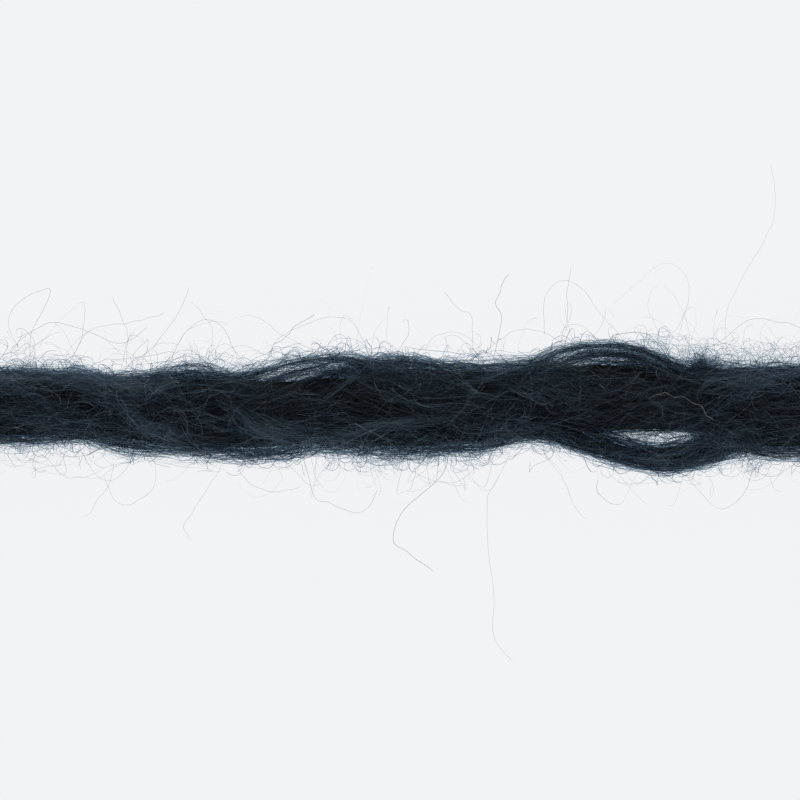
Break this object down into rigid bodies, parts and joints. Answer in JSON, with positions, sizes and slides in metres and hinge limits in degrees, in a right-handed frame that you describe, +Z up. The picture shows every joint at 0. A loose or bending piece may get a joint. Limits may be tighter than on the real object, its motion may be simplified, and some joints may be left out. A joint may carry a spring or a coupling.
{
  "type": "knitting yarn",
  "caption": "Cut length of thick, soft, loosely plied dark wool knitting yarn with a hairy surface, lying nearly straight on a flat surface.",
  "frame": {"origin": "on the surface that the strand lies on, under the middle of its length and width", "axes": "+X along the strand, +Y across it, +Z up"},
  "size_m": [0.056, 0.0063, 0.0047],
  "materials": {
    "wool": "matte, dark blue-black, hairy wool"
  },
  "bodies": {
    "root": {"ply_1": "wool", "ply_2": "wool", "ply_3": "wool", "ply_4": "wool"}
  },
  "joints": []
}
